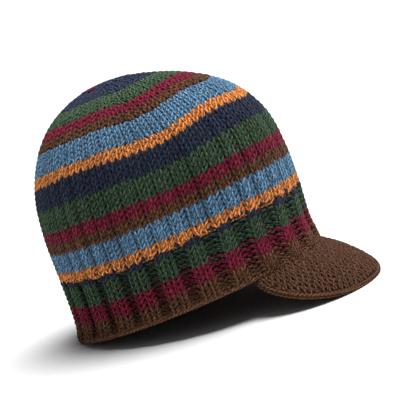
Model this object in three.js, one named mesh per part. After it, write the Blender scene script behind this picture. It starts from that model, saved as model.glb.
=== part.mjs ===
// Knitted visor beanie: a ribbed band, a domed crown and a pebbled visor, each one closed knitted wall.
// Millimetres, +Z up. The visor points to -Y. The hat stands on z = 0 on its visor and the back of its rim.
import * as THREE from "three";

// Outer face of the wall, one row per section. Heights are over the lowest point of the rim, and centre
// is how far the section's middle lies behind that of the rim. Columns: height, centre, halfLength, halfWidth.
const SECTIONS = [
  [0.0, 1.1, 100.2, 83.4],
  [13.0, -0.7, 98.4, 82.3],
  [28.0, -0.6, 97.2, 81.3],
  [52.0, -2.0, 97.8, 81.5],
  [80.0, -3.0, 97.5, 81.2],
  [112.0, -3.6, 92.4, 77.4],
  [138.0, -1.6, 77.6, 65.7],
  [156.5, 4.0, 52.4, 45.3],
  [166.4, 7.7, 25.2, 22.5],
  [169.8, 8.7, 0.0, 0.0],
];
const CROWN_HEIGHT = SECTIONS[SECTIONS.length - 1][0];
const EVEN_SPACING = 0.0465; // shifts the section angle so that stitches are equally wide around the oval

const WALL = 4.4; // two strands of yarn, one behind the other
const PIECE_GAP = 0.3;
const BAND_TOP = 53.0;
const RIM_RISE = 4.9; // the rim plane is this much higher at the front, and lower at the back

const RIBS = 24; // two knit and two purl stitches each
const RIB_DEPTH = 2.4;
const RIB_FADE = 9.0; // height over which the ribs flatten out below the crown
const RIB_PROFILE = [0.0, 0.0, 0.55, 1.0, 1.0, 0.55]; // share of the depth over one rib
const BAND_ROWS = 6;

const WEDGES = 6; // the crown narrows along six lines
const WEDGE_TURN = THREE.MathUtils.degToRad(-6.25);
const WEDGE_BULGE = 0.02; // share of the radius, at the lines
const WEDGE_START = 92.0;
const WEDGE_FULL = 148.0;
const CROWN_COLUMNS = 72;
const CROWN_ROWS = 15;
const CLOSING_RADIUS_SHARE = 0.06; // last ring of stitches before the closed top

const VISOR_HALF_ANGLE = THREE.MathUtils.degToRad(38); // of the rim that it spans on each side of the front
const VISOR_HALF_COLUMNS = 16;
const VISOR_REACH = 46.7; // along its surface, at the front
const VISOR_END_REACH = 2.7;
const VISOR_THICKNESS = 5.2;
const VISOR_ROUNDNESS = 2.1; // powers of the outline, from root end to front
const VISOR_FULLNESS = 0.66;
const VISOR_FORWARD = 0.8; // share of the sideways lean that the visor keeps
const VISOR_ROOT_SLOPE = THREE.MathUtils.degToRad(32.3);
const VISOR_EDGE_SLOPE = THREE.MathUtils.degToRad(51.3);
const VISOR_SIDE_RISE = THREE.MathUtils.degToRad(3.3); // how much flatter it lies at its ends
const VISOR_ROWS = 8;

const REST_TILT = THREE.MathUtils.degToRad(6.15); // the visor holds the front of the rim up
const REST_SINK = 1.2; // how far the resting yarn is pressed flat

const BAND_COLUMNS = RIBS * RIB_PROFILE.length;

// Cubic blend of a table's rows at x, with slopes from neighbouring rows. keys holds each row's x.
function blend(keys, rows, x) {
  let i = 0;
  while (i < keys.length - 2 && x > keys[i + 1]) i += 1;
  const span = keys[i + 1] - keys[i];
  const t = (x - keys[i]) / span;
  const slope = (k, c) => {
    const a = Math.max(k - 1, 0);
    const b = Math.min(k + 1, keys.length - 1);
    return (rows[b][c] - rows[a][c]) / (keys[b] - keys[a]);
  };
  const h1 = t * t * (3 - 2 * t);
  const m0 = t * (1 - t) * (1 - t) * span;
  const m1 = t * t * (t - 1) * span;
  return rows[i].map((v, c) => v + h1 * (rows[i + 1][c] - v) + m0 * slope(i, c) + m1 * slope(i + 1, c));
}

// Rise runs from 0 at the lowest rim point to 1 at the top, evenly along a round dome.
const riseAt = (height) => 1 - Math.sqrt(Math.max(1 - height / CROWN_HEIGHT, 0));
const heightAt = (rise) => CROWN_HEIGHT * (1 - (1 - rise) * (1 - rise));
const SECTION_RISES = SECTIONS.map((row) => riseAt(row[0]));

// Point of the smooth outer face. Turn is 0 at the front and grows towards +X.
function outerFace(rise, turn) {
  const [, centre, halfLength, halfWidth] = blend(SECTION_RISES, SECTIONS, rise);
  const height = heightAt(rise);
  const angle = turn + EVEN_SPACING * Math.sin(2 * turn);
  const lobes = THREE.MathUtils.smoothstep(height, WEDGE_START, WEDGE_FULL) * WEDGE_BULGE;
  const swell = 1 + lobes * Math.cos(WEDGES * (turn - WEDGE_TURN));
  const x = halfWidth * swell * Math.sin(angle);
  const y = centre - halfLength * swell * Math.cos(angle);
  return new THREE.Vector3(x, y, height);
}

// Outward unit normal of the smooth outer face, from two short steps along it.
function outerNormal(rise, turn) {
  const d = 1e-3;
  const across = outerFace(rise, turn + d).sub(outerFace(rise, turn - d));
  const up = outerFace(rise + d, turn).sub(outerFace(rise - d, turn));
  return across.cross(up).normalize();
}

// Point at a depth under the outer face.
function wallPoint(rise, turn, depth) {
  return outerFace(rise, turn).addScaledVector(outerNormal(rise, turn), -depth);
}

const rimHeight = (turn) => RIM_RISE * (1 + Math.cos(turn));

// Tilts a point as the hat rests, sets it on the floor and presses what would lie below it flat.
const REST_AXIS = new THREE.Vector3(1, 0, 0);
function rest(point, lift) {
  const p = point.clone().applyAxisAngle(REST_AXIS, -REST_TILT);
  p.z = Math.max(p.z + lift, 0);
  return p;
}

// Closed mesh from a grid of rings. Each ring is a closed loop, and the last ring joins the first if
// wrap is set. Without wrap, the two end rings are closed by fans about their middles.
function ringSolid(rings, wrap) {
  const n = rings[0].length;
  const points = rings.flat();
  const faces = [];
  const count = wrap ? rings.length : rings.length - 1;
  for (let i = 0; i < count; i += 1) {
    const next = ((i + 1) % rings.length) * n;
    for (let j = 0; j < n; j += 1) {
      const k = (j + 1) % n;
      faces.push([i * n + j, i * n + k, next + k], [i * n + j, next + k, next + j]);
    }
  }
  const fan = (start, flip) => {
    const ring = points.slice(start, start + n);
    const middle = ring.reduce((sum, p) => sum.add(p), new THREE.Vector3()).divideScalar(n);
    const m = points.push(middle) - 1;
    for (let j = 0; j < n; j += 1) {
      const k = (j + 1) % n;
      faces.push(flip ? [m, start + k, start + j] : [m, start + j, start + k]);
    }
  };
  if (!wrap) {
    fan(0, true);
    fan((rings.length - 1) * n, false);
  }
  const geometry = new THREE.BufferGeometry();
  geometry.setAttribute("position", new THREE.Float32BufferAttribute(points.flatMap((p) => [p.x, p.y, p.z]), 3));
  geometry.setIndex(faces.flat());
  geometry.computeVertexNormals();
  return geometry;
}

// Ring of points around the hat, one per column.
function around(columns, pointAt) {
  return Array.from({ length: columns }, (_, k) => pointAt((k / columns) * 2 * Math.PI, k));
}

function bandRings() {
  const rings = [];
  const ringAt = (share, depth) => around(BAND_COLUMNS, (turn, k) => {
    const low = rimHeight(turn);
    const height = low + share * (BAND_TOP - PIECE_GAP / 2 - low);
    const fade = 1 - THREE.MathUtils.smoothstep(height, BAND_TOP - RIB_FADE, BAND_TOP);
    const rib = RIB_DEPTH * RIB_PROFILE[k % RIB_PROFILE.length] * fade;
    const p = wallPoint(riseAt(height), turn, rib + depth);
    p.z = height;
    return p;
  });
  for (let i = 0; i <= BAND_ROWS; i += 1) rings.push(ringAt(i / BAND_ROWS, 0));
  for (let i = BAND_ROWS; i >= 0; i -= 1) rings.push(ringAt(i / BAND_ROWS, WALL));
  return rings;
}

function crownRings() {
  const low = riseAt(BAND_TOP + PIECE_GAP / 2);
  const high = 1 - CLOSING_RADIUS_SHARE;
  const outer = [];
  const inner = [];
  for (let i = 0; i <= CROWN_ROWS; i += 1) {
    const rise = low + (i / CROWN_ROWS) * (high - low);
    outer.push(around(CROWN_COLUMNS, (turn) => outerFace(rise, turn)));
    inner.push(around(CROWN_COLUMNS, (turn) => wallPoint(rise, turn, WALL)));
  }
  inner[0].forEach((p, k) => {
    p.z = outer[0][k].z;
  });
  return [...inner.reverse(), ...outer];
}

// Closed cross-section of the visor, for each column of the band that it spans.
function visorRings() {
  const rings = [];
  for (let c = -VISOR_HALF_COLUMNS; c <= VISOR_HALF_COLUMNS; c += 1) {
    const turn = (c / VISOR_HALF_COLUMNS) * VISOR_HALF_ANGLE;
    const share = Math.abs(c) / VISOR_HALF_COLUMNS;
    const body = (1 - share ** VISOR_ROUNDNESS) ** VISOR_FULLNESS;
    const reach = VISOR_END_REACH + (VISOR_REACH - VISOR_END_REACH) * body;
    const rise = riseAt(rimHeight(turn));
    const root = outerFace(rise, turn);
    root.z = rimHeight(turn) - PIECE_GAP;
    const normal = outerNormal(rise, turn);
    const out = new THREE.Vector3(normal.x * VISOR_FORWARD, normal.y, 0).normalize();
    const flatter = VISOR_SIDE_RISE * share ** 2;
    const slopeAt = (s) => VISOR_ROOT_SLOPE - flatter + s * (VISOR_EDGE_SLOPE - VISOR_ROOT_SLOPE);
    const top = [[-WALL, 0], [0, 0]];
    const under = [[-WALL, -VISOR_THICKNESS], [0, -VISOR_THICKNESS]];
    let d = 0;
    let h = 0;
    for (let i = 1; i <= VISOR_ROWS; i += 1) {
      const slope = slopeAt((i - 0.5) / VISOR_ROWS);
      d += (Math.cos(slope) * reach) / VISOR_ROWS;
      h -= (Math.sin(slope) * reach) / VISOR_ROWS;
      const bend = slopeAt(i / VISOR_ROWS);
      top.push([d, h]);
      under.push([d - Math.sin(bend) * VISOR_THICKNESS, h - Math.cos(bend) * VISOR_THICKNESS]);
    }
    const last = slopeAt(1);
    const half = VISOR_THICKNESS / 2;
    const edge = [d + half * (Math.cos(last) - Math.sin(last)), h - half * (Math.sin(last) + Math.cos(last))];
    const profile = [...top, edge, ...under.reverse()];
    rings.push(profile.map(([x, z]) => root.clone().addScaledVector(out, x).add(new THREE.Vector3(0, 0, z))));
  }
  return rings;
}

const knit = (colour, roughness) => new THREE.MeshStandardMaterial({ color: colour, roughness, metalness: 0 });

function piece(name, geometry, material) {
  const mesh = new THREE.Mesh(geometry, material);
  mesh.name = name;
  return mesh;
}

const band = bandRings();
const crown = crownRings();
const visor = visorRings();

// The lowest point of the tilted rings meets the floor, pressed in by the sink.
const lowest = Math.min(
  ...[band, visor].flat(2).map((p) => p.clone().applyAxisAngle(REST_AXIS, -REST_TILT).z),
);
const settle = (rings) => rings.map((ring) => ring.map((p) => rest(p, -lowest - REST_SINK)));

const hat = new THREE.Group();
hat.name = "visor_beanie";
hat.add(piece("ribbed_band", ringSolid(settle(band), true), knit(0x553c2a, 0.95)));
hat.add(piece("crown", ringSolid(settle(crown), false), knit(0x354934, 0.95)));
hat.add(piece("visor", ringSolid(settle(visor), false), knit(0x4f3828, 0.95)));

// The origin lies on the floor, under the middle of the hat's box.
const box = new THREE.Box3().setFromObject(hat);
hat.position.set(-(box.min.x + box.max.x) / 2, -(box.min.y + box.max.y) / 2, 0);

export default hat;
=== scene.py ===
"""Knitted visor beanie: every loop of its yarn, its edges, its backing and the stage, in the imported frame."""

import math

import bpy
import numpy as np
from bpy.props import FloatProperty, FloatVectorProperty, IntProperty, PointerProperty
from mathutils import Matrix, Vector


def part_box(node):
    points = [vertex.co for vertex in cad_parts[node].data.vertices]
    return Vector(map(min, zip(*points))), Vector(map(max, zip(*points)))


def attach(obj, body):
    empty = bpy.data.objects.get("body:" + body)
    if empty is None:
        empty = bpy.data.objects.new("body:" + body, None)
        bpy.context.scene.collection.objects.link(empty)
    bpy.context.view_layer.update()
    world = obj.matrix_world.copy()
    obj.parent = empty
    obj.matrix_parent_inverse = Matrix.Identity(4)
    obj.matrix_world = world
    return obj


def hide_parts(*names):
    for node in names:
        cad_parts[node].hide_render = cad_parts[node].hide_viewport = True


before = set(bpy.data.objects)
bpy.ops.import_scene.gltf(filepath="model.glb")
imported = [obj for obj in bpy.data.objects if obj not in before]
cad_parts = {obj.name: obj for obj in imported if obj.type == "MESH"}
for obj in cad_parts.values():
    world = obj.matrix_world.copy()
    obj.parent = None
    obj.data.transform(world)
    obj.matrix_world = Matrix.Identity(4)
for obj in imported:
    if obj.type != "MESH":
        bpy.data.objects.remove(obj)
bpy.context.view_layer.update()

bl_info = {
    "name": "Knitted visor beanie",
    "version": (1, 0, 0),
    "blender": (4, 5, 0),
    "location": "View3D > Sidebar > Beanie",
    "description": "Knits a striped beanie with a ribbed band and a pebbled visor, loop by loop",
    "category": "Object",
}

MM = 0.001

# Outer face of the wall in millimetres, as in the part's source: height, centre, half length, half width.
SECTIONS = np.array([
    (0.0, 1.1, 100.2, 83.4),
    (13.0, -0.7, 98.4, 82.3),
    (28.0, -0.6, 97.2, 81.3),
    (52.0, -2.0, 97.8, 81.5),
    (80.0, -3.0, 97.5, 81.2),
    (112.0, -3.6, 92.4, 77.4),
    (138.0, -1.6, 77.6, 65.7),
    (156.5, 4.0, 52.4, 45.3),
    (166.4, 7.7, 25.2, 22.5),
    (169.8, 8.7, 0.0, 0.0),
])
CROWN_HEIGHT = 169.8
EVEN_SPACING = 0.0465
WALL = 4.4
BAND_TOP = 53.0
RIM_RISE = 4.9
RIB_DEPTH = 3.9
WEDGES = 6
WEDGE_ANGLE = 2 * math.pi / WEDGES
WEDGE_TURN = math.radians(-6.25)
WEDGE_BULGE = 0.02
WEDGE_START = 92.0
WEDGE_FULL = 148.0
REST_TILT = math.radians(6.15)

VISOR_HALF_ANGLE = math.radians(38.0)
VISOR_REACH = 46.7
VISOR_END_REACH = 2.7
VISOR_THICKNESS = 5.2
VISOR_ROUNDNESS = 2.1
VISOR_FULLNESS = 0.66
VISOR_FORWARD = 0.8
VISOR_ROOT_SLOPE = math.radians(32.3)
VISOR_EDGE_SLOPE = math.radians(51.3)
VISOR_SIDE_RISE = math.radians(3.3)
VISOR_ROOT_DROP = 0.3

# Stitches of the visor: spread and half height of the loops in courses, how far a loop comes forward and goes
# back, depth of the yarn's middle, tuck of the first course under the rim, room at the edge, tone, and the
# painted shade where a loop goes back.
VISOR_UNEVENNESS = 0.16
VISOR_LOOP = 0.88
VISOR_DIP = 1.05
VISOR_YARN_DEPTH = VISOR_THICKNESS / 2 - 0.3
VISOR_TUCK = 3.0
VISOR_MARGIN = 0.6
VISOR_TONE = 0.7
VISOR_SHADE = 0.24
VISOR_EDGE_REACH = 1.012  # reach of the twisted edge against the visor's

# Stripes from the rim up: colour, courses, height in millimetres along the near side of the hat.
RIB_STRIPES = [("brown", 4, 16.1), ("burgundy", 3, 11.2), ("green", 4, 14.6), ("navy", 1, 4.4)]
CROWN_STRIPES = [
    ("orange", 2, 7.2), ("blue", 4, 13.7), ("brown", 2, 7.8), ("burgundy", 2, 8.1), ("green", 4, 15.3),
    ("navy", 4, 15.2), ("orange", 2, 8.1), ("blue", 5, 18.2), ("brown", 2, 9.2), ("burgundy", 2, 10.0),
    ("green", 4, 16.8), ("navy", 9, 34.7),
]
EDGE_HEIGHT = 2.6  # from the rim up to the first course

# Twisted edge of the rim: thickness against the visor's edge, height above the rim, depth below the outer face,
# share of the ribs' valleys that it follows, and the painted light that makes it lighter in the shade at the
# bottom.
RIM_EDGE_SIZE = 0.8
RIM_EDGE_HEIGHT = 1.3
RIM_EDGE_DEPTH = 2.1
RIM_EDGE_FOLLOW = 0.8
RIM_EDGE_PAINTED_LIGHT = 1.8

# Closing at the top: place of the knot and of the last loop, how far the knot stands up, half its yarn's
# thickness, and the trefoil that both follow: its width, the swing of that, its height and how far it sinks in.
KNOT_TURN = math.radians(-102.0)
KNOT_RISE = 0.9
APEX_RISE = 0.9999
KNOT_LIFT = 0.7
KNOT_RADIUS = 1.15
KNOT_WIDTH = 2.3
KNOT_SWING = 1.1
KNOT_HEIGHT = 0.9
KNOT_SINK = 1.7

# Layers under the loops: depths of their two faces, and the tone of their wool, darkened as painted shade.
BACKING_DEPTHS = (2.7, 3.5)
BACKING_PAINTED_SHADE = 0.25
CORE_DEPTHS = (1.9, 3.3)
CORE_PAINTED_SHADE = 0.42

# How far the courses ride above an even spacing, in millimetres. Rows go from the front to the back on either
# side, by degrees of turn, and columns from the rim to the top, by share of the length between them.
RIDE_TURNS = [0, 9, 18, 30, 45, 60, 75, 90, 110, 130, 155, 180]
RIDE_SHARES = [0.0, 0.06, 0.2, 0.3, 0.42, 0.54, 0.64, 0.74, 0.84, 1.0]
RIDE = np.array([
    (0, -8.2, -8.0, -7.0, -5.6, -4.7, -2.8, -0.1, 0.8, 0),
    (0, -7.8, -7.6, -6.7, -5.2, -3.9, -2.0, 0.5, 1.3, 0),
    (0, -7.0, -7.0, -6.2, -4.1, -1.7, -0.4, 1.6, 2.3, 0),
    (0, -5.6, -5.5, -4.9, -3.4, -0.9, -0.3, 0.9, 1.6, 0),
    (0, -4.7, -4.2, -4.0, -4.0, -3.0, -3.0, -1.9, -0.2, 0),
    (0, -4.7, -4.1, -4.0, -4.2, -3.8, -3.6, -2.4, 0.2, 0),
    (0, -5.2, -4.1, -3.2, -1.9, 0.0, 0.8, 1.3, 2.3, 0),
    (0, -5.4, -3.9, -2.1, 0.9, 4.4, 5.3, 4.1, 3.4, 0),
    (0, -5.0, -2.8, -1.1, 2.0, 5.7, 5.3, 2.8, 1.8, 0),
    (0, -3.8, -2.2, -1.7, -0.3, 2.9, 3.1, 0.1, -1.0, 0),
    (0, -2.0, -1.5, -1.3, -1.1, 0.0, 0.2, -1.0, -1.3, 0),
    (0, -1.2, -1.3, -1.3, -1.2, -1.1, -1.1, -1.3, -1.1, 0),
])
NEAR_SIDE_LENGTH = 217.2

# Stitches of a wedge in the band and in the lower crown, their width, the share of it that is kept between
# decreases, the area of a stitch that the yarn's thickness suits, and the depth of the yarn's middle.
WALES_PER_WEDGE = 16
CROWN_WALES = 14
STITCH_WIDTH = 6.7
STITCH_EASE = 0.97
STITCH_AREA = 24.0
YARN_DEPTH = WALL / 2 - 0.5

# Ribs of the band, and the turns from which it slackens and is fully slack.
RIBS = 24
RIB_TURN = math.radians(1.25)
FOREHEAD_TURN = math.radians(20.0)
EAR_TURN = math.radians(95.0)

# Purl loops against knit loops, and the share of half a stitch from which one blends into the next.
PURL_SHORTER = 0.11
PURL_THINNER = 0.22
FOOT_START = 0.62

# Grooves: how open the fabric is at each wale, depth of such a gap against the groove between pairs, and how
# many stitches the gathers reach from a decrease line.
GAPS = np.random.default_rng(3).random(WALES_PER_WEDGE * WEDGES) ** 2
GAP_DEPTH = 2.5
GATHER_WIDTH = 2.4

# Tone of the yarn: the share lost to painted shade where a loop goes back, at its head, in the valleys and in
# the grooves, and the share gained as painted light at the top.
LOOP_TONE = 0.98
LOOP_SHADE = 0.36
HEAD_SHADE = 0.25
VALLEY_SHADE = 0.55
GROOVE_SHADE = 0.32
TOP_PAINTED_LIGHT = 0.34

# Pattern of the wool, each as lowest and highest value and the tones for them.
# Plies: painted shade in the grooves between them and painted highlights on them.
PLY_PAINTED_SHADING = (-0.8, 1.0, 0.36, 1.42)
FIBRE_TONES = (0.32, 0.68, 0.42, 1.68)
HEATHER_TONES = (0.3, 0.7, 0.8, 1.2)
FLECK_TONES = (0.3, 0.75, 0.75, 1.3)
FIBRE_ROUGHNESS = (0.3, 0.7, 0.82, 0.97)
HEATHER_SCALE = 210.0
FLECK_SCALE = 1500.0
FIBRE_SCALE = 2.2
BUMP_DISTANCE = 0.0006

# Stage: turn, rise and roll of the camera about the upright hat, the point it aims at with its shift to the right
# and up, the width of its sensor, the key light, and half the floor's side in metres with its cells along a side.
VIEW_ANGLES = np.radians([-62.0, 7.0, 21.8])
VIEW_AIM = (0.0, 0.00374, 0.07547)
VIEW_SHIFT = (0.02896, -0.0076)
SENSOR_WIDTH = 36.0
KEY_BACK = -0.1  # lean of the key light towards the camera and to the right, against its height
KEY_RIGHT = 0.3
FLOOR_HALF = 30.0
FLOOR_CELLS = 12


def srgb(r, g, b):
    """Scene linear colour of an 8 bit screen colour."""
    c = np.array([r, g, b]) / 255.0
    return tuple(np.where(c <= 0.04045, c / 12.92, ((c + 0.055) / 1.055) ** 2.4))


# Surface of the hat

def smoothstep(x, low, high):
    """3t^2 - 2t^3 of the share t of the way from low to high."""
    t = np.clip((x - low) / (high - low), 0.0, 1.0)
    return t * t * (3.0 - 2.0 * t)


def fade_between(x, start, full, fade, end):
    """0 up to start, 1 from full to fade and 0 again from end, with a smooth step between them."""
    return smoothstep(x, start, full) * (1.0 - smoothstep(x, fade, end))


def rise_at(height):
    """Rise of a height: 1 less the root of the share of the crown's height that is still above it."""
    return 1.0 - np.sqrt(np.maximum(1.0 - height / CROWN_HEIGHT, 0.0))


KEYS = rise_at(SECTIONS[:, 0])


def sections_at(rise):
    """Cubic Hermite blend of the section rows over rise, with the slope of each row from its neighbours."""
    k = np.clip(np.searchsorted(KEYS, rise, side="right") - 1, 0, len(KEYS) - 2)
    a, b, c = np.maximum(k - 1, 0), k + 1, np.minimum(k + 2, len(KEYS) - 1)
    slope0 = (SECTIONS[b] - SECTIONS[a]) / (KEYS[b] - KEYS[a])[..., None]
    slope1 = (SECTIONS[c] - SECTIONS[k]) / (KEYS[c] - KEYS[k])[..., None]
    span = (KEYS[b] - KEYS[k])[..., None]
    t = (rise - KEYS[k])[..., None] / span
    return ((2 * t**3 - 3 * t**2 + 1) * SECTIONS[k] + (t**3 - 2 * t**2 + t) * span * slope0
            + (3 * t**2 - 2 * t**3) * SECTIONS[b] + (t**3 - t**2) * span * slope1)


def outer_face(turn, rise):
    """Oval of the section at this rise: half width times sine across, half length times cosine forward.

    Six soft corners swell it high on the crown, by the cosine of six times the turn. Turn 0 is the front.
    """
    turn, rise = np.broadcast_arrays(turn, rise)
    row = sections_at(rise)
    height = CROWN_HEIGHT * (1.0 - (1.0 - rise) ** 2)
    angle = turn + EVEN_SPACING * np.sin(2.0 * turn)
    corners = np.cos(WEDGES * (turn - WEDGE_TURN))
    swell = 1.0 + smoothstep(height, WEDGE_START, WEDGE_FULL) * WEDGE_BULGE * corners
    across = row[..., 3] * swell * np.sin(angle)
    forward = row[..., 1] - row[..., 2] * swell * np.cos(angle)
    return np.stack([across, forward, height], -1)


def unit(v):
    """Each vector over its own length."""
    return v / np.maximum(np.linalg.norm(v, axis=-1, keepdims=True), 1e-9)


def outer_normal(turn, rise):
    """Cross product of the steps of the face along turn and along rise."""
    e = 1e-3
    low, high = np.clip(rise - e, 0.0, 0.9985), np.clip(rise + e, 0.0, 0.9995)
    along = outer_face(turn + e, rise) - outer_face(turn - e, rise)
    up = outer_face(turn, high) - outer_face(turn, low)
    return unit(np.cross(along, up))


def rim_height(turn):
    """Height of the rim plane, lowest at the back."""
    return RIM_RISE * (1.0 + np.cos(turn))


def tilted(points):
    """Points turned back about X by the angle at which the hat rests."""
    c, s = math.cos(REST_TILT), math.sin(REST_TILT)
    x, y, z = points[..., 0], points[..., 1], points[..., 2]
    return np.stack([x, y * c + z * s, z * c - y * s], -1)


def rest_offset():
    """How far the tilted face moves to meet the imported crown's back and top, in millimetres."""
    turns, rises = np.radians(np.arange(0, 360, 5)), np.linspace(rise_at(BAND_TOP), 0.999, 300)
    turn, rise = np.meshgrid(turns, rises)
    face = tilted(outer_face(turn, rise))
    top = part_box("crown")[1]
    return np.array([0.0, top.y / MM - face[..., 1].max(), top.z / MM - face[..., 2].max()])


REST_OFFSET = rest_offset()


def settle(points):
    """Points of the upright hat, tilted and moved as it rests, pressed flat on the floor, in metres."""
    p = tilted(points) + REST_OFFSET
    p[..., 2] = np.maximum(p[..., 2], 0.0)
    return p * MM


# Courses and wales

def course_list():
    """Colour and height of every course, from the rim up."""
    rows = []
    for colour, count, height in RIB_STRIPES + CROWN_STRIPES:
        rows += [(colour, height / count)] * count
    return [r[0] for r in rows], np.array([r[1] for r in rows])


COURSE_COLOURS, COURSE_HEIGHTS = course_list()
COURSES = len(COURSE_COLOURS)
RIB_COURSES = sum(count for _, count, _ in RIB_STRIPES)
COURSE_STEPS = 4
TURN_STEPS = 144
PLAIN_COURSES = 8  # above the band, before the first decrease

# Courses at which the pairs of wales, the gaps and the gathers start, are full, fade and end, and those between
# which painted light lightens the top.
PAIR_COURSES = (2.0, RIB_COURSES, RIB_COURSES + 4, RIB_COURSES + 22)
GAP_COURSES = (RIB_COURSES, RIB_COURSES + 2, COURSES - 16, COURSES - 6)
GATHER_COURSES = (30.0, 33.0, 37.0, 42.0)
TOP_COURSES = (COURSES - 15.0, COURSES - 9.0)


def course_table():
    """Rise of each course at each turn: its share of the length from rim to top, plus its ride."""
    tops = np.concatenate([[0.0], np.cumsum(COURSE_HEIGHTS)]) + EDGE_HEIGHT
    course = np.arange(-COURSE_STEPS, (COURSES + 1) * COURSE_STEPS + 1) / COURSE_STEPS
    height = np.interp(course, np.arange(COURSES + 1), tops)
    height = np.where(course < 0, tops[0] + course * COURSE_HEIGHTS[0], height)
    past = tops[-1] + (course - COURSES) * 0.5 * (NEAR_SIDE_LENGTH - tops[-1])
    height = np.where(course > COURSES, past, height)
    share = height / NEAR_SIDE_LENGTH
    turns = np.linspace(-math.pi, math.pi, TURN_STEPS + 1)
    rises = np.linspace(0.0, 1.0, 801)
    steps = np.linalg.norm(np.diff(outer_face(turns[:, None], rises[None, :]), axis=1), axis=-1)
    arc = np.concatenate([np.zeros((len(turns), 1)), np.cumsum(steps, axis=1)], axis=1)
    table = np.empty((len(turns), len(course)))
    for i, turn in enumerate(turns):
        start = np.interp(rise_at(rim_height(turn)), rises, arc[i])
        away = abs(math.degrees(turn))
        column = [np.interp(away, RIDE_TURNS, RIDE[:, k]) for k in range(len(RIDE_SHARES))]
        at = start + share * (arc[i, -1] - start) + np.interp(share, RIDE_SHARES, column)
        table[i] = np.where(at < 0.0, at * rises[1] / arc[i, 1], np.interp(at, arc[i], rises))
    return table


def rise_of(table, turn, course):
    """Rise at a turn and a course, between the four nearest entries of the table."""
    a = np.mod(turn + math.pi, 2 * math.pi) / (2 * math.pi) * TURN_STEPS
    b = np.clip((course + 1.0) * COURSE_STEPS, 0, table.shape[1] - 1.001)
    i, j = np.floor(a).astype(int) % TURN_STEPS, np.floor(b).astype(int)
    f, g = a - np.floor(a), b - j
    return ((1 - f) * (1 - g) * table[i, j] + f * (1 - g) * table[i + 1, j]
            + (1 - f) * g * table[i, j + 1] + f * g * table[i + 1, j + 1])


def stitches_per_wedge(table):
    """Even stitch count of each course in one wedge, from the length round the hat there.

    The last course of a stripe takes no decrease, so that its loops stand on those below.
    """
    turns = np.linspace(-math.pi, math.pi, 181)
    middle = np.arange(COURSES) + 0.5
    rings = outer_face(turns[None, :], rise_of(table, turns[None, :], middle[:, None]))
    length = np.linalg.norm(np.diff(rings, axis=1), axis=-1).sum(axis=1)
    count = 2 * np.round(length / (2 * WEDGES * STITCH_WIDTH * STITCH_EASE)).astype(int)
    count = np.clip(count, 2, CROWN_WALES)
    count[:RIB_COURSES + PLAIN_COURSES] = CROWN_WALES
    count[:RIB_COURSES] = WALES_PER_WEDGE
    count = np.minimum.accumulate(count)
    for j in range(1, COURSES - 1):
        if COURSE_COLOURS[j - 1] == COURSE_COLOURS[j] != COURSE_COLOURS[j + 1]:
            count[j] = count[j - 1]
    return count


def slack(turn):
    """0 over the forehead, where the band is stretched, to 1 from the ears to the back."""
    away = np.abs(np.mod(turn + math.pi, 2 * math.pi) - math.pi)
    return smoothstep(away, FOREHEAD_TURN, EAR_TURN)


def rib_recess(turn, course):
    """Depth of the purl valleys: a smooth step of (1 - cos) / 2 of the ribs' turn.

    It is half as deep over the forehead, shallow at the rim, and flattens out at the top of the band.
    """
    wave = 0.5 - 0.5 * np.cos(RIBS * (turn - RIB_TURN))
    fade = 1.0 - smoothstep(course, RIB_COURSES - 2.0, RIB_COURSES + 1.2)
    deep = RIB_DEPTH * (0.5 + 0.5 * slack(turn))
    return deep * smoothstep(wave, 0.5, 1.0) * fade * (0.3 + 0.7 * smoothstep(course, 0.0, 2.5))


def is_knit(wale):
    """True for the two knit wales of each rib of four."""
    return np.mod(wale - 1, 4) < 2


def periodic(values, x):
    """Values given at stitch middles round a course, blended linearly at x."""
    n = len(values)
    i = np.floor(x - 0.5).astype(int)
    f = x - 0.5 - i
    return values[i % n] * (1 - f) + values[(i + 1) % n] * f


def loop_wave(samples, swing):
    """One stitch, t from -pi to pi: its phase, its step along the course, its lift and its dip.

    Step is t/2pi + swing sin 2t, lift is cos t with a little of cos 3t taken off, and dip is cos 2t with part
    of cos t to the fourth added at the head.
    """
    t = -math.pi + 2 * math.pi * np.arange(samples) / samples
    lift = 1.06 * np.cos(t) - 0.06 * np.cos(3 * t)
    dip = np.cos(2 * t) + 0.45 * np.maximum(np.cos(t), 0.0) ** 4
    return t, t / (2 * math.pi) + swing * np.sin(2 * t), lift, dip


def stitch_sides(j, n, t):
    """1 on knit loops and -1 on purl loops, blended at the foot of a loop with the one next to it."""
    total = WEDGES * n
    side = np.ones(total)
    if j < RIB_COURSES:
        side = np.where(is_knit(np.arange(total) % n), 1.0, -1.0)
    phase = np.tile(t, total)
    edge = np.clip((np.abs(phase) / math.pi - FOOT_START) / (1.0 - FOOT_START), 0.0, 1.0) * 0.5
    own, ahead, behind = (np.repeat(np.roll(side, shift), len(t)) for shift in (0, -1, 1))
    return own * (1 - edge) + np.where(phase > 0, ahead, behind) * edge


def wedge_turn(wedge, share):
    """Turn at a share of a wedge's breadth to either side of its middle."""
    return WEDGE_TURN + WEDGE_ANGLE * (wedge + 0.5 + share)


def groove_depth(course, pair, wedge, inward, yarn):
    """Depth of the grooves between wales, from the place p of a stitch in its pair of wales.

    Pairs have (1 + cos pi p) / 2 above the band. Gaps have cos^2 pi p, as open as their wale is, and as open as
    the gathers are beside a decrease line: e to the minus square of the stitches inward from it.
    """
    paired = fade_between(course, *PAIR_COURSES) * (0.5 + 0.5 * np.cos(math.pi * pair))
    gather = np.exp(-(inward / GATHER_WIDTH) ** 2) * fade_between(course, *GATHER_COURSES)
    wale = np.round(pair + WALES_PER_WEDGE * wedge).astype(int) % len(GAPS)
    gap = np.maximum(GAPS[wale], gather) * np.cos(math.pi * pair) ** 2
    return yarn.pair_groove / MM * (paired + GAP_DEPTH * fade_between(course, *GAP_COURSES) * gap)


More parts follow.
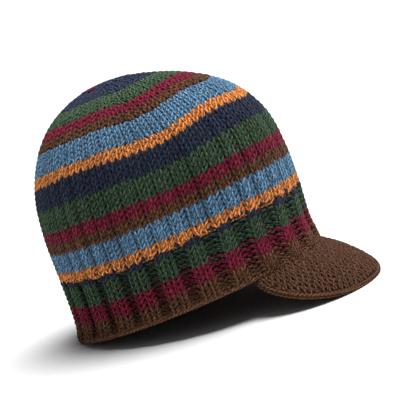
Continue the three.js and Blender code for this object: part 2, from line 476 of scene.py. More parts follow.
def loop_light(course, wave, head, valley, groove):
    """Painted light and shade of the yarn: painted shade where it goes back, at a loop's head, in valleys and
    grooves, and painted light at the top.
    """
    light = np.clip(LOOP_TONE - LOOP_SHADE * wave - HEAD_SHADE * head, 0.28, 1.34)
    light = light * (1.0 - VALLEY_SHADE * valley / RIB_DEPTH) * (1.0 - GROOVE_SHADE * np.minimum(groove, 1.6))
    return light * (1.0 + TOP_PAINTED_LIGHT * smoothstep(course, *TOP_COURSES))


def stitch_area(table, turn, rise, j, n):
    """Length of one course along the rise times the width of one stitch along the turn."""
    e = 0.01
    tall = outer_face(turn, rise_of(table, turn, j + 1.0)) - outer_face(turn, rise_of(table, turn, j))
    wide = (outer_face(turn + e, rise) - outer_face(turn - e, rise)) * WEDGE_ANGLE / (2 * e * n)
    return np.linalg.norm(tall, axis=-1) * np.linalg.norm(wide, axis=-1)


def course_path(table, counts, j, yarn, rng):
    """Centre line of one course, its outward normals, painted light and shade, and girth: a wave of loops laid on
    the hat's face.

    Lift carries the wave up and down the courses and dip carries it through the fabric, the other way round on
    purl loops. Pairs of wales lean together by sin pi p, and ribs spread over valleys by sin of pi (p - 1) / 2.
    """
    n = counts[j]
    total = WEDGES * n
    t, along, lift, dip = loop_wave(yarn.loop_samples, yarn.loop_swing)
    stitch = np.arange(total)
    x = (stitch[:, None] + 0.5 + along[None, :]).ravel()
    wedge = np.repeat(stitch // n, len(t))
    face = stitch_sides(j, n, t)
    purl = 0.5 - 0.5 * face
    sway = rng.normal(0.0, yarn.unevenness, total)
    tight = rng.normal(0.0, yarn.unevenness, total)
    reach = yarn.loop_height * (1.0 + 0.5 * periodic(tight, x)) * (1.0 - PURL_SHORTER * purl)
    course = j + 0.5 + reach * np.tile(lift, total) + 0.5 * periodic(sway, x)

    local = x - wedge * n - n / 2.0
    pair = local + WALES_PER_WEDGE / 2 - 1.0
    local = local + yarn.pair_pull * fade_between(course, *PAIR_COURSES) * np.sin(math.pi * pair)
    ribbing = 1.0 - smoothstep(course, RIB_COURSES - 2.0, RIB_COURSES + 2.0)
    draw = yarn.rib_draw * (1.4 * slack(wedge_turn(wedge, local / n)) - 0.4)
    local = local + draw * ribbing * np.sin(0.5 * math.pi * (pair - 1.0))
    breadth = n + 0.45 * (np.interp(course, np.arange(COURSES) + 0.5, counts) - n)
    turn = wedge_turn(wedge, local / breadth)
    rise = np.clip(rise_of(table, turn, course), -0.02, 0.992)
    normal = outer_normal(turn, np.maximum(rise, 0.0))

    wave = np.tile(dip, total) * face
    head = np.tile(np.maximum(np.cos(t), 0.0) ** 6, total) * np.maximum(face, 0.0)
    valley = rib_recess(turn, course)
    groove = groove_depth(course, pair, wedge, n / 2.0 - np.abs(local), yarn)
    depth = YARN_DEPTH + valley + groove + yarn.loop_depth / MM * wave
    path = outer_face(turn, rise) - normal * depth[:, None]
    fullness = np.sqrt(stitch_area(table, turn, rise, j, n) / STITCH_AREA)
    girth = np.clip(fullness, 0.86, 1.25) * (1.0 - PURL_THINNER * purl)
    return path, normal, loop_light(course, wave, head, valley, groove), girth


# Yarn as tubes

def cell_corners(*corners):
    """One row of four for each cell of a grid, from one grid for each of its corners."""
    return np.stack(np.broadcast_arrays(*corners), -1).reshape(-1, 4)


class Skein:
    """Tubes of yarn that become one mesh. Each tube is a ring of points carried along a path."""

    def __init__(self, sides):
        self.sides = sides
        self.points, self.quads, self.lengths, self.turns, self.lights = [], [], [], [], []
        self.count = 0

    def wind(self, path, across, radius, flat=1.0, closed=True, light=1.0):
        """Ring: centre + radius (cos a side + flat sin a up), with side square to the path and to across."""
        step = np.roll(path, -1, 0) - np.roll(path, 1, 0) if closed else np.gradient(path, axis=0)
        tangent = unit(step)
        side = unit(np.cross(tangent, across))
        up = np.cross(side, tangent)
        a = 2 * math.pi * np.arange(self.sides) / self.sides
        radius = np.broadcast_to(radius, (len(path),))[:, None, None]
        ring = np.cos(a)[None, :, None] * side[:, None] + flat * np.sin(a)[None, :, None] * up[:, None]
        points = path[:, None] + radius * ring
        n, m = len(path), self.sides
        i = np.arange(n if closed else n - 1)[:, None]
        k = np.arange(m)[None, :]
        i2, k2 = (i + 1) % n, (k + 1) % m
        quads = cell_corners(i * m + k, i2 * m + k, i2 * m + k2, i * m + k2)
        gaps = np.linalg.norm(np.roll(path, -1, 0) - path, axis=1)
        length = np.concatenate([[0.0], np.cumsum(gaps)])
        self.points.append(points.reshape(-1, 3))
        self.lights.append(np.repeat(np.broadcast_to(light, (n,)), m))
        self.quads.append(quads + self.count)
        lower, upper = length[:-1][:len(i)], length[1:][:len(i)]
        self.lengths.append(np.stack([lower, upper, upper, lower], -1).repeat(m, 0))
        share = np.stack([k[0], k[0], k[0] + 1, k[0] + 1], -1) / m
        self.turns.append(np.broadcast_to(share[None], (len(i), m, 4)).reshape(-1, 4))
        self.count += n * m
        if not closed:
            self.cap(0, True)
            self.cap(n - 1, False)

    def cap(self, ring, flip):
        """Closes an open end of the last tube with a fan of quads over its ring."""
        m = self.sides
        base = self.count - len(self.points[-1]) + ring * m
        fan = np.array([(0, q, q + 1, q + 2) for q in range(1, m - 1, 2)]) + base
        self.quads.append(fan[:, ::-1] if flip else fan)
        self.lengths.append(np.zeros(fan.shape))
        self.turns.append(np.broadcast_to([0.0, 0.3, 0.6, 0.9], fan.shape))

    def mesh(self, name, girth):
        """Piece with the settled points, a map of length and turn, strips of yarn for baking, and the painted
        light and shade.
        """
        quads = np.concatenate(self.quads)
        lengths, turns = np.concatenate(self.lengths), np.concatenate(self.turns)
        cells = len(quads)
        segments = math.ceil(cells / self.sides)
        step = np.median(lengths[:, 1] - lengths[:, 0])
        rows = max(1, round(math.sqrt(segments * step / girth)))
        per_row = math.ceil(segments / rows)
        segment = np.arange(cells) // self.sides
        lane = np.arange(cells) % self.sides
        corner_u, corner_v = np.array([0, 1, 1, 0]), np.array([0, 0, 1, 1])
        u = (segment[:, None] % per_row + corner_u * 0.98 + 0.01) / per_row
        v = (segment[:, None] // per_row + 0.05 + 0.9 * (lane[:, None] + corner_v) / self.sides) / rows
        maps = {"yarn": np.stack([lengths, turns], -1), "OFBake": np.stack([u, v], -1)}
        piece = new_piece(name, settle(np.concatenate(self.points)), quads, maps)
        layer = piece.data.attributes.new("light", "FLOAT", "POINT")
        layer.data.foreach_set("value", np.concatenate(self.lights).astype(np.float32))
        return piece


def new_piece(name, points, quads, maps, indices=None):
    """Mesh object at the origin from arrays of points, quads and corner maps."""
    mesh = bpy.data.meshes.new(name)
    mesh.vertices.add(len(points))
    mesh.vertices.foreach_set("co", np.ascontiguousarray(points, dtype=np.float32).ravel())
    mesh.loops.add(quads.size)
    mesh.loops.foreach_set("vertex_index", np.ascontiguousarray(quads, dtype=np.int32).ravel())
    mesh.polygons.add(len(quads))
    mesh.polygons.foreach_set("loop_start", np.arange(0, quads.size, 4, dtype=np.int32))
    mesh.polygons.foreach_set("use_smooth", np.ones(len(quads), dtype=bool))
    if indices is not None:
        mesh.polygons.foreach_set("material_index", np.ascontiguousarray(indices, dtype=np.int32))
    for key, values in maps.items():
        layer = mesh.uv_layers.new(name=key)
        layer.data.foreach_set("uv", np.ascontiguousarray(values, dtype=np.float32).ravel())
    mesh.update(calc_edges=True)
    if mesh.validate():
        raise RuntimeError(f"{name} has faces that are not sound")
    piece = bpy.data.objects.new(name, mesh)
    bpy.context.scene.collection.objects.link(piece)
    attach(piece, "root")
    return piece


def ring_shell(name, rings, indices, replaced):
    """Closed shell from a grid of rings that wraps both ways, with a map for the yarn and one for baking."""
    n, m = rings.shape[:2]
    i, k = np.arange(n)[:, None], np.arange(m)[None, :]
    i2, k2 = (i + 1) % n, (k + 1) % m
    quads = cell_corners(i * m + k, i * m + k2, i2 * m + k2, i2 * m + k)
    iu = cell_corners(k, k + 1, k + 1, k + 0 * i)
    iv = cell_corners(i + 0 * k, i, i + 1, i + 1)
    maps = {"yarn": np.stack([iu * 3.0, iv * 0.5], -1),
            "OFBake": np.stack([0.01 + 0.98 * iu / m, 0.01 + 0.98 * iv / n], -1)}
    piece = new_piece(name, settle(rings.reshape(-1, 3)), quads, maps, np.repeat(indices, m))
    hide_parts(replaced)
    return piece


# Materials

def wool(name, colour, yarn, shade=1.0):
    """Plied wool: plies that wind along the yarn, with painted shade in their grooves and painted highlights on
    them, heather, flecks and a fibre bump.

    The colour is scaled by the product of these tones, by a layer's painted shade and by the painted light and
    shade kept on a yarn.
    """
    old = bpy.data.materials.get(name)
    if old:
        return old
    material = bpy.data.materials.new(name)
    material.use_nodes = True
    nodes, links = material.node_tree.nodes, material.node_tree.links
    shader = nodes["Principled BSDF"]

    def maths(kind, a, b=None):
        """Result of one step of arithmetic, where a plain number is set and a socket is linked."""
        node = nodes.new("ShaderNodeMath")
        node.operation = kind
        for socket, value in zip(node.inputs, (a, b)):
            if value is None:
                continue
            if isinstance(value, (int, float)):
                socket.default_value = value
            else:
                links.new(value, socket)
        return node.outputs[0]

    def noise(vector, scale, detail):
        """Noise at a place, from 0 to 1."""
        node = nodes.new("ShaderNodeTexNoise")
        node.inputs["Scale"].default_value = scale
        node.inputs["Detail"].default_value = detail
        links.new(vector, node.inputs["Vector"])
        return node.outputs["Fac"]

    def ramp(value, low, high, dark, light):
        """Straight line from dark at low to light at high, level beyond them."""
        node = nodes.new("ShaderNodeMapRange")
        for key, number in (("From Min", low), ("From Max", high), ("To Min", dark), ("To Max", light)):
            node.inputs[key].default_value = number
        links.new(value, node.inputs["Value"])
        return node.outputs["Result"]

    place = nodes.new("ShaderNodeTexCoord").outputs["Object"]
    winding = nodes.new("ShaderNodeUVMap")
    winding.uv_map = "yarn"
    parts = nodes.new("ShaderNodeSeparateXYZ")
    links.new(winding.outputs["UV"], parts.inputs[0])
    along, round_ = parts.outputs["X"], parts.outputs["Y"]
    twist = maths("ADD", maths("MULTIPLY", along, 1.0 / (yarn.ply_pitch / MM)), round_)
    ply = maths("SINE", maths("MULTIPLY", twist, 2 * math.pi * yarn.plies))
    fibre_place = nodes.new("ShaderNodeCombineXYZ")
    links.new(maths("MULTIPLY", twist, 9.0), fibre_place.inputs["X"])
    links.new(maths("MULTIPLY", along, 0.35), fibre_place.inputs["Y"])
    fibre = noise(fibre_place.outputs[0], FIBRE_SCALE, 3.0)
    heather = noise(place, HEATHER_SCALE, 2.0)
    fleck = noise(place, FLECK_SCALE, 2.0)
    # The ply tones are painted shade in the grooves between the plies and painted highlights on them.
    tone = maths("MULTIPLY", ramp(ply, *PLY_PAINTED_SHADING), ramp(fibre, *FIBRE_TONES))
    tone = maths("MULTIPLY", tone, ramp(heather, *HEATHER_TONES))
    tone = maths("MULTIPLY", tone, ramp(fleck, *FLECK_TONES))
    if shade == 1.0:
        # The light attribute holds the painted light and shade of the yarn.
        lit = nodes.new("ShaderNodeAttribute")
        lit.attribute_name = "light"
        tone = maths("MULTIPLY", tone, lit.outputs["Fac"])
    tone = maths("MULTIPLY", tone, shade)
    tint = nodes.new("ShaderNodeVectorMath")
    tint.operation = "SCALE"
    tint.inputs[0].default_value = colour
    links.new(tone, tint.inputs["Scale"])
    links.new(tint.outputs[0], shader.inputs["Base Color"])
    relief = maths("ADD", maths("MULTIPLY", ply, 0.5), maths("MULTIPLY", fibre, 0.9))
    bump = nodes.new("ShaderNodeBump")
    bump.inputs["Strength"].default_value = 1.0
    bump.inputs["Distance"].default_value = BUMP_DISTANCE
    links.new(relief, bump.inputs["Height"])
    links.new(bump.outputs[0], shader.inputs["Normal"])
    links.new(ramp(fibre, *FIBRE_ROUGHNESS), shader.inputs["Roughness"])
    shader.inputs["Specular IOR Level"].default_value = 0.18
    shader.inputs["Sheen Weight"].default_value = yarn.fuzz
    shader.inputs["Sheen Roughness"].default_value = 0.45
    shader.inputs["Sheen Tint"].default_value = (*np.clip(np.array(colour) * 1.6 + 0.1, 0, 1), 1.0)
    material.diffuse_color = (*colour, 1.0)
    return material


# Settings

class YarnSettings(bpy.types.PropertyGroup):
    """Sizes of the yarn and of its loops."""

    radius: FloatProperty(name="Yarn radius",
                          description="Half the thickness of the yarn across the fabric's face",
                          default=0.00136, min=0.0005, max=0.003, precision=5, unit="LENGTH")
    flatness: FloatProperty(name="Flatness",
                            description="Thickness through the fabric as a share of that across it",
                            default=0.95, min=0.4, max=1.2)
    loop_height: FloatProperty(name="Loop height", description="Half the height of a loop, in courses",
                               default=0.84, min=0.6, max=1.3)
    loop_swing: FloatProperty(name="Loop swing", description="How far the legs of a loop lean, in stitches",
                              default=0.248, min=0.1, max=0.4)
    loop_depth: FloatProperty(name="Loop depth", description="How far a loop comes forward and goes back",
                              default=0.00095, min=0.0, max=0.003, precision=5, unit="LENGTH")
    loop_samples: IntProperty(name="Points per loop", description="Points along the yarn in one stitch",
                              default=12, min=8, max=32)
    sides: IntProperty(name="Sides", description="Corners of the yarn's cross-section",
                       default=6, min=4, max=16)
    unevenness: FloatProperty(name="Unevenness", description="Spread of the loops' heights, in courses",
                              default=0.12, min=0.0, max=0.4)
    pair_pull: FloatProperty(name="Pair pull",
                             description="How far wales lean together in pairs above the ribs, in stitches",
                             default=0.09, min=0.0, max=0.3)
    rib_draw: FloatProperty(name="Rib draw",
                            description="How far the knit ribs spread over the purl valleys, in stitches",
                            default=0.42, min=0.0, max=0.5)
    pair_groove: FloatProperty(name="Pair groove", description="Depth of the groove between pairs of wales",
                               default=0.0006, min=0.0, max=0.003, precision=5, unit="LENGTH")
    plies: IntProperty(name="Plies", description="Strands twisted into the yarn", default=3, min=1, max=8)
    ply_pitch: FloatProperty(name="Ply pitch", description="Length of yarn for one full turn of its plies",
                             default=0.013, min=0.002, max=0.05, precision=4, unit="LENGTH")
    fuzz: FloatProperty(name="Fuzz", description="Strength of the soft sheen of loose fibres", default=0.28,
                        min=0.0, max=1.0, subtype="FACTOR")


class ColourSettings(bpy.types.PropertyGroup):
    """Colours of the yarns."""

    navy: FloatVectorProperty(name="Navy", description="Dark blue yarn of the top and two stripes",
                              subtype="COLOR", size=3, min=0.0, max=1.0, default=srgb(40, 47, 67))
    green: FloatVectorProperty(name="Green", description="Bottle green yarn", subtype="COLOR", size=3,
                               min=0.0, max=1.0, default=srgb(59, 80, 58))
    burgundy: FloatVectorProperty(name="Burgundy", description="Wine red yarn", subtype="COLOR", size=3,
                                  min=0.0, max=1.0, default=srgb(120, 29, 52))
    brown: FloatVectorProperty(name="Brown", description="Brown yarn of the rim, the visor and two stripes",
                               subtype="COLOR", size=3, min=0.0, max=1.0, default=srgb(96, 63, 43))
    blue: FloatVectorProperty(name="Blue", description="Sky blue yarn", subtype="COLOR", size=3,
                              min=0.0, max=1.0, default=srgb(99, 137, 168))
    orange: FloatVectorProperty(name="Orange", description="Orange yarn", subtype="COLOR", size=3,
                                min=0.0, max=1.0, default=srgb(220, 137, 74))


class EdgeSettings(bpy.types.PropertyGroup):
    """Sizes of the visor's stitches and of the twisted edges."""

    stitch_width: FloatProperty(name="Visor stitch width", description="Width of a stitch at the visor's root",
                                default=0.0045, min=0.002, max=0.01, precision=5, unit="LENGTH")
    course_height: FloatProperty(name="Visor course height", description="Height of a course of the visor",
                                 default=0.0034, min=0.002, max=0.01, precision=5, unit="LENGTH")
    yarn_radius: FloatProperty(name="Visor yarn radius", description="Half the thickness of the visor's yarn",
                               default=0.0013, min=0.0005, max=0.003, precision=5, unit="LENGTH")
    strand_radius: FloatProperty(name="Edge strand radius",
                                 description="Half the thickness of an edge's strand",
                                 default=0.0013, min=0.0005, max=0.003, precision=5, unit="LENGTH")
    strand_offset: FloatProperty(name="Edge strand offset",
                                 description="How far a strand lies from the edge's middle",
                                 default=0.00105, min=0.0, max=0.003, precision=5, unit="LENGTH")
    strand_pitch: FloatProperty(name="Edge twist",
                                description="Length of an edge for one turn of its two strands",
                                default=0.006, min=0.003, max=0.03, precision=4, unit="LENGTH")


class StageSettings(bpy.types.PropertyGroup):
    """Floor, light and camera."""

    floor_colour: FloatVectorProperty(name="Floor", description="Colour of the floor", subtype="COLOR",
                                      size=3, min=0.0, max=1.0, default=(0.93, 0.93, 0.93))
    key_strength: FloatProperty(name="Key light",
                                description="Strength of the broad soft light above and to the right",
                                default=4.3, min=0.0, max=20.0)
    key_spread: FloatProperty(name="Key spread", description="How wide the key light is, seen from the hat",
                              default=math.radians(42.0), min=0.0, max=math.pi, subtype="ANGLE")
    sky: FloatProperty(name="Sky", description="Strength of the even light from all round", default=0.12,
                       min=0.0, max=5.0)
    distance: FloatProperty(name="Camera distance", description="From the camera to the hat", default=1.25,
                            min=0.3, max=10.0, unit="LENGTH")
    lens: FloatProperty(name="Lens", description="Focal length for a sensor 36 mm wide", default=149.4,
                        min=20.0, max=400.0)


def colour_of(key):
    """Linear colour of a yarn as a plain tuple."""
    return tuple(getattr(bpy.context.scene.knit_colours, key))


def yarn_material(key, shade=1.0):
    """Wool of one of the six colours, darkened as painted shade for a layer under the loops."""
    name = f"wool_{key}" if shade == 1.0 else f"wool_{key}_{round(100 * shade)}"
    return wool(name, colour_of(key), bpy.context.scene.knit_yarn, shade)


def yarn_piece(skein, name, radius, colour):
    """Piece of the tubes of a skein, in one colour of wool."""
    piece = skein.mesh(name, 2 * math.pi * radius)
    piece.data.materials.append(yarn_material(colour))


# Pieces

class KnitStripes(bpy.types.Operator):
    """Knits the band and the crown: one piece for each colour of yarn"""

    bl_idname = "knit.stripes"
    bl_label = "Striped yarn"

    def execute(self, context):
        yarn = context.scene.knit_yarn
        table = course_table()
        counts = stitches_per_wedge(table)
        rng = np.random.default_rng(11)
        skeins = {key: Skein(yarn.sides) for key in dict.fromkeys(COURSE_COLOURS)}
        for j, colour in enumerate(COURSE_COLOURS):
            path, normal, light, girth = course_path(table, counts, j, yarn, rng)
            skeins[colour].wind(path, normal, yarn.radius / MM * girth, yarn.flatness, light=light)
        for colour, skein in skeins.items():
            yarn_piece(skein, f"yarn_{colour}", yarn.radius / MM, colour)
        return {"FINISHED"}


class KnitBacking(bpy.types.Operator):
    """Adds the thin inner layers that the loops lie on, striped as the yarn over them, in wool darkened as
    painted shade
    """

    bl_idname = "knit.backing"
    bl_label = "Backing"

    def execute(self, context):
        table = course_table()
        keys = list(dict.fromkeys(COURSE_COLOURS))
        turns = np.linspace(0, 2 * math.pi, 192, endpoint=False)

        def layer(course, depth):
            """Outer face sunk along its normals by a depth and by the purl valleys."""
            c, turn = np.meshgrid(course, turns, indexing="ij")
            rise = np.clip(rise_of(table, turn, c), 0.0, 0.985)
            deep = depth + rib_recess(turn, c)
            return outer_face(turn, rise) - outer_normal(turn, rise) * deep[..., None]

        for name, first, last, node in (("band_backing", 0, RIB_COURSES, "ribbed_band"),
                                        ("crown_backing", RIB_COURSES, COURSES, "crown")):
            course = np.arange(first, last + 1)
            top = np.append(course, last + 0.5) if node == "crown" else course
            rings = np.concatenate([layer(top, BACKING_DEPTHS[0]), layer(top[::-1], BACKING_DEPTHS[1])])
            stripe = np.array([keys.index(COURSE_COLOURS[min(int(c), last - 1)]) for c in top])
            piece = ring_shell(name, rings, np.concatenate([stripe, np.roll(stripe[::-1], -1)]), node)
            for key in keys:
                # Painted shade: the layer's wool is darker, as the yarn in shadow between the loops.
                piece.data.materials.append(yarn_material(key, BACKING_PAINTED_SHADE))
        return {"FINISHED"}


def twisted_pair(path, across, edge, size=1.0):
    """Two strands that wind round a path: offset (cos a side + sin a up), with a in step with the length."""
    gaps = np.linalg.norm(np.diff(path, axis=0), axis=1)
    length = np.concatenate([[0.0], np.cumsum(gaps)])
    turns = max(1, round(length[-1] / (edge.strand_pitch / MM)))
    angle = 2 * math.pi * turns * length / length[-1]
    tangent = unit(np.gradient(path, axis=0))
    side = unit(np.cross(tangent, across))
    up = np.cross(side, tangent)
    for start in (0.0, math.pi):
        ring = np.cos(angle + start)[:, None] * side + np.sin(angle + start)[:, None] * up
        yield path + size * edge.strand_offset / MM * ring, up


def resampled(points, count):
    """Points evenly spaced along a path, and the share of its length at each."""
    length = np.concatenate([[0.0], np.cumsum(np.linalg.norm(np.diff(points, axis=0), axis=1))])
    at = np.linspace(0.0, length[-1], count)
    return np.stack([np.interp(at, length, points[:, a]) for a in range(3)], -1), at / length[-1]


class KnitRimEdge(bpy.types.Operator):
    """Twists the cast-on edge along the rim"""

    bl_idname = "knit.rim_edge"
    bl_label = "Cast-on edge"

    def execute(self, context):
        yarn, edge = context.scene.knit_yarn, context.scene.knit_edges
        turn = np.linspace(-math.pi, math.pi, 2881)
        rise = rise_at(rim_height(turn) + RIM_EDGE_HEIGHT)
        depth = RIM_EDGE_DEPTH + RIM_EDGE_FOLLOW * rib_recess(turn, np.zeros_like(turn))
        path = outer_face(turn, rise) - outer_normal(turn, rise) * depth[:, None]
        path, share = resampled(path, 1801)
        spin = np.interp(share, np.linspace(0, 1, len(turn)), turn)
        across = outer_normal(spin, rise_at(rim_height(spin) + RIM_EDGE_HEIGHT))
        skein = Skein(yarn.sides)
        for strand, up in twisted_pair(path, across, edge, RIM_EDGE_SIZE):
            radius = RIM_EDGE_SIZE * edge.strand_radius / MM
            # Painted light: the edge is made lighter than its brown, though it lies in shade at the bottom.
            skein.wind(strand[:-1], up[:-1], radius, light=RIM_EDGE_PAINTED_LIGHT)
        yarn_piece(skein, "cast_on_edge", edge.strand_radius / MM, "brown")
        return {"FINISHED"}


class KnitClosing(bpy.types.Operator):
    """Draws the last loops together at the top and ties the yarn off beside them with a small knot"""

    bl_idname = "knit.closing"
    bl_label = "Closing knot"

    def execute(self, context):
        yarn = context.scene.knit_yarn
        # A trefoil goes round twice, and its width and height rise and fall three times.
        t = np.linspace(0, 2 * math.pi, 72, endpoint=False)
        wide = KNOT_WIDTH + KNOT_SWING * np.cos(3 * t)
        high = KNOT_HEIGHT * np.sin(3 * t) - KNOT_SINK
        trefoil = np.stack([wide * np.cos(2 * t), wide * np.sin(2 * t), high], -1)
        across = np.broadcast_to([0.0, 0.0, 1.0], trefoil.shape)
        for name, colour, rise, lift in (("closing_loop", "navy", APEX_RISE, 0.0),
                                         ("closing_knot", "burgundy", KNOT_RISE, KNOT_LIFT)):
            middle = outer_face(np.array(KNOT_TURN), np.array(rise)) + (0.0, 0.0, lift)
            skein = Skein(yarn.sides)
            skein.wind(trefoil + middle, across, KNOT_RADIUS)
            yarn_piece(skein, name, KNOT_RADIUS, colour)
        return {"FINISHED"}


def visor_reach(angle):
    """Reach along the visor's face: that of its ends, plus the rest times (1 - share^roundness)^fullness."""
    share = np.clip(np.abs(angle) / VISOR_HALF_ANGLE, 0.0, 1.0)
    body = (1.0 - share**VISOR_ROUNDNESS) ** VISOR_FULLNESS
    return VISOR_END_REACH + (VISOR_REACH - VISOR_END_REACH) * body


def visor_face(angle, reach):
    """Point on the visor's upper face and its normal, out from the rim along an arc that steepens evenly."""
    angle, reach = np.broadcast_arrays(angle, reach)
    rise = rise_at(rim_height(angle))
    root = outer_face(angle, rise)
    root = np.concatenate([root[..., :2], rim_height(angle)[..., None] - VISOR_ROOT_DROP], -1)
    normal = outer_normal(angle, rise)
    out = unit(np.stack([normal[..., 0] * VISOR_FORWARD, normal[..., 1], np.zeros_like(angle)], -1))
    full = visor_reach(angle)
    bend = VISOR_EDGE_SLOPE - VISOR_ROOT_SLOPE
    start = VISOR_ROOT_SLOPE - VISOR_SIDE_RISE * (angle / VISOR_HALF_ANGLE) ** 2
    slope = start + bend * np.clip(reach / full, 0.0, 1.15)
    span = full / bend
    far = span * (np.sin(slope) - np.sin(start)) + np.minimum(reach, 0.0) * np.cos(start)
    fall = span * (np.cos(start) - np.cos(slope)) + np.minimum(reach, 0.0)
    up = np.array([0.0, 0.0, 1.0])
    point = root + out * far[..., None] - up * fall[..., None]
    return point, out * np.sin(slope)[..., None] + up * np.cos(slope)[..., None]


def visor_loops(yarn, edge):
    """Courses of loops from the rim outwards, each a wave on the visor's face, half a stitch on from the last.

    A course has the stitches that the visor's reach leaves room for, and stops at the visor's ends.
    """
    rng = np.random.default_rng(5)
    angles = np.linspace(-VISOR_HALF_ANGLE, VISOR_HALF_ANGLE, 241)
    root, _ = visor_face(angles, np.zeros_like(angles))
    length = np.linalg.norm(np.diff(root, axis=0), axis=1).sum()
    wales = int(round(length / (edge.stitch_width / MM)))
    height = edge.course_height / MM
    t, along, lift, dip = loop_wave(yarn.loop_samples, yarn.loop_swing)
    middles = (np.arange(wales) + 0.5) / wales * 2 * VISOR_HALF_ANGLE - VISOR_HALF_ANGLE
    skein = Skein(yarn.sides)
    for m in range(-1, int(VISOR_REACH / height) + 1):
        stitch = np.flatnonzero(visor_reach(middles) - 0.4 * height > (m + 0.5) * height)
        if len(stitch) < 2:
            continue
        x = (stitch[:, None] + 0.5 + 0.5 * (m % 2) + along[None, :]).ravel()
        inside = np.abs(x / wales * 2 - 1) <= 1.0
        angle = (x[inside] / wales * 2 - 1) * VISOR_HALF_ANGLE
        uneven = np.repeat(rng.normal(0.0, VISOR_UNEVENNESS, len(stitch)), len(t))[inside]
        lifted = (VISOR_LOOP + uneven) * np.tile(lift, len(stitch))[inside]
        reach = (m + 0.5 + lifted + uneven) * height
        reach = np.clip(reach, -VISOR_TUCK, visor_reach(angle) - VISOR_MARGIN)
        point, normal = visor_face(angle, reach)
        wave = np.tile(dip, len(stitch))[inside]
        path = point - normal * (VISOR_YARN_DEPTH + VISOR_DIP * wave)[:, None]
        # Painted shade: the loops are darker where they go back into the visor.
        light = np.clip(VISOR_TONE - VISOR_SHADE * wave, 0.3, 0.94)
        skein.wind(path, normal, edge.yarn_radius / MM, closed=False, light=light)
    return skein


def visor_rim(yarn, edge):
    """Two strands twisted round a path along the end of the visor's reach, at the middle of its thickness."""
    angles = np.linspace(-VISOR_HALF_ANGLE, VISOR_HALF_ANGLE, 2001)
    rim, normal = visor_face(angles, visor_reach(angles) * VISOR_EDGE_REACH)
    path, share = resampled(rim - normal * VISOR_THICKNESS / 2, 601)
    at = np.linspace(0, 1, len(angles))
    across = np.stack([np.interp(share, at, normal[:, a]) for a in range(3)], -1)
    skein = Skein(yarn.sides)
    for strand, up in twisted_pair(path, across, edge):
        skein.wind(strand, up, edge.strand_radius / MM, closed=False)
    return skein


def visor_layer():
    """Layer inside the visor: closed sections across it, carried from end to end and drawn in at both."""
    spread = np.linspace(-1, 1, 97) * VISOR_HALF_ANGLE * 0.995
    share = np.linspace(-0.12, 0.97, 16)
    grid, rows = np.meshgrid(spread, share, indexing="ij")
    point, normal = visor_face(grid, rows * visor_reach(grid))
    upper, lower = (point - normal * depth for depth in CORE_DEPTHS)
    rings = np.concatenate([upper, lower[:, ::-1]], axis=1)
    ends = rings.mean(axis=1, keepdims=True)
    rings[0], rings[-1] = ends[0], ends[-1]
    rings[0] += 0.02 * (rings[1] - ends[1])
    rings[-1] += 0.02 * (rings[-2] - ends[-2])

    n, m = rings.shape[:2]
    i, k = np.arange(n - 1)[:, None], np.arange(m)[None, :]
    k2 = (k + 1) % m
    side = cell_corners(i * m + k2, (i + 1) * m + k2, (i + 1) * m + k, i * m + k)
    iu = cell_corners(i + 0 * k, i + 1, i + 1, i)
    iv = cell_corners(k + 1, k + 1, k, k + 0 * i)
    a = np.arange(m // 2 - 1)
    cap = np.stack([a, a + 1, m - 2 - a, m - 1 - a], -1)
    quads = np.concatenate([side, cap[:, ::-1], cap + (n - 1) * m])
    flat = np.zeros((2 * len(cap), 4))
    iu = np.concatenate([iu, flat + [0, 0.5, 0.5, 0]])
    iv = np.concatenate([iv, flat + [0.5, 0.5, 0, 0]])
    maps = {"yarn": np.stack([iu * 1.5, iv * 0.5], -1),
            "OFBake": np.stack([0.02 + 0.96 * iu / n, 0.02 + 0.96 * iv / m], -1)}
    return new_piece("visor_core", settle(rings.reshape(-1, 3)), quads, maps)


class KnitVisor(bpy.types.Operator):
    """Knits the visor in staggered loops, twists its edge and adds the layer inside it"""

    bl_idname = "knit.visor"
    bl_label = "Visor"

    def execute(self, context):
        yarn, edge = context.scene.knit_yarn, context.scene.knit_edges
        yarn_piece(visor_loops(yarn, edge), "visor_yarn", edge.yarn_radius / MM, "brown")
        yarn_piece(visor_rim(yarn, edge), "visor_edge", edge.strand_radius / MM, "brown")
        piece = visor_layer()
        # Painted shade: the layer inside the visor is darker wool, as the yarn in shadow between the loops.
        piece.data.materials.append(yarn_material("brown", CORE_PAINTED_SHADE))
        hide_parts("visor")
        return {"FINISHED"}


# Stage

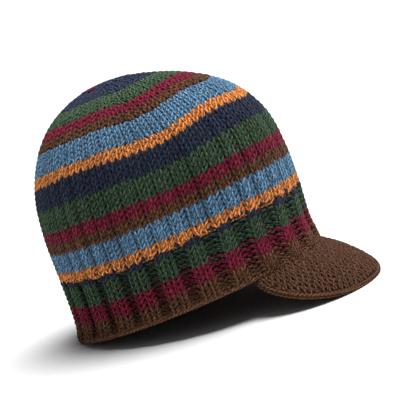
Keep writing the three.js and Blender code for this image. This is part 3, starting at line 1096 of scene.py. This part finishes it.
class KnitStage(bpy.types.Operator):
    """Lays the floor, hangs the light and sets the camera"""

    bl_idname = "knit.stage"
    bl_label = "Stage"

    def execute(self, context):
        stage = context.scene.knit_stage
        row = FLOOR_CELLS + 1
        side = np.linspace(-FLOOR_HALF, FLOOR_HALF, row)
        x, y = np.meshgrid(side, side, indexing="ij")
        points = np.stack([x, y, np.zeros_like(x)], -1).reshape(-1, 3)
        i, k = np.arange(FLOOR_CELLS)[:, None], np.arange(FLOOR_CELLS)[None, :]
        base = i * row + k
        quads = cell_corners(base, base + row, base + row + 1, base + 1)
        mesh = bpy.data.meshes.new("floor")
        mesh.from_pydata(points.tolist(), [], quads.tolist())
        floor = bpy.data.objects.new("floor", mesh)
        context.scene.collection.objects.link(floor)
        paper = bpy.data.materials.new("pale_floor")
        paper.use_nodes = True
        shader = paper.node_tree.nodes["Principled BSDF"]
        shader.inputs["Base Color"].default_value = (*stage.floor_colour, 1.0)
        shader.inputs["Roughness"].default_value = 0.9
        shader.inputs["Specular IOR Level"].default_value = 0.1
        mesh.materials.append(paper)

        world = context.scene.world or bpy.data.worlds.new("studio")
        context.scene.world = world
        world.use_nodes = True
        sky = world.node_tree.nodes["Background"]
        sky.inputs["Color"].default_value = (1.0, 1.0, 1.0, 1.0)
        sky.inputs["Strength"].default_value = stage.sky

        back, right, up = view_axes()
        aim = REST_OFFSET * MM + VIEW_AIM + VIEW_SHIFT[0] * right + VIEW_SHIFT[1] * up
        eye = aim + stage.distance * back
        key = bpy.data.lights.new("key", "SUN")
        key.energy, key.angle = stage.key_strength, stage.key_spread
        lamp = bpy.data.objects.new("key", key)
        toward = Vector(KEY_BACK * back + KEY_RIGHT * right + np.array([0.0, 0.0, 1.0]))
        lamp.rotation_euler = toward.to_track_quat("Z", "Y").to_euler()
        context.scene.collection.objects.link(lamp)

        camera = bpy.data.cameras.new("camera")
        camera.lens, camera.sensor_width = stage.lens, SENSOR_WIDTH
        camera.clip_start, camera.clip_end = 0.05, 200.0
        holder = bpy.data.objects.new("camera", camera)
        turn = Matrix((right, up, back)).transposed().to_4x4()
        holder.matrix_world = Matrix.Translation(Vector(eye)) @ turn
        context.scene.collection.objects.link(holder)
        context.scene.camera = holder
        context.scene.view_settings.view_transform = "Standard"
        return {"FINISHED"}


def view_axes():
    """Backward, right and up of the camera: turned and raised about the upright hat, rolled, tilted with it."""
    a, e, roll = VIEW_ANGLES
    back = np.array([math.sin(a) * math.cos(e), -math.cos(a) * math.cos(e), math.sin(e)])
    right = np.array([math.cos(a), math.sin(a), 0.0])
    up = np.cross(back, right)
    c, s = math.cos(roll), math.sin(roll)
    return tilted(np.stack([back, c * right - s * up, s * right + c * up]))


class KNIT_PT_beanie(bpy.types.Panel):
    """Lists the steps and settings of the beanie"""

    bl_label = "Knitted visor beanie"
    bl_idname = "KNIT_PT_beanie"
    bl_space_type = "VIEW_3D"
    bl_region_type = "UI"
    bl_category = "Beanie"

    def draw(self, context):
        column = self.layout.column()
        for step in STEPS:
            column.operator(step.bl_idname)
        for group in SETTINGS:
            settings = getattr(context.scene, group)
            for key in settings.__annotations__:
                column.prop(settings, key)


STEPS = (KnitStripes, KnitBacking, KnitRimEdge, KnitClosing, KnitVisor, KnitStage)
SETTINGS = {"knit_yarn": YarnSettings, "knit_colours": ColourSettings, "knit_edges": EdgeSettings,
            "knit_stage": StageSettings}


def register():
    for cls in (*SETTINGS.values(), *STEPS, KNIT_PT_beanie):
        bpy.utils.register_class(cls)
    for key, cls in SETTINGS.items():
        setattr(bpy.types.Scene, key, PointerProperty(type=cls))


def unregister():
    for key in SETTINGS:
        delattr(bpy.types.Scene, key)
    for cls in reversed((*SETTINGS.values(), *STEPS, KNIT_PT_beanie)):
        bpy.utils.unregister_class(cls)


def main():
    """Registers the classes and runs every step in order."""
    register()
    for step in (bpy.ops.knit.stripes, bpy.ops.knit.backing, bpy.ops.knit.rim_edge, bpy.ops.knit.closing,
                 bpy.ops.knit.visor, bpy.ops.knit.stage):
        step()


if __name__ == "__main__":
    main()
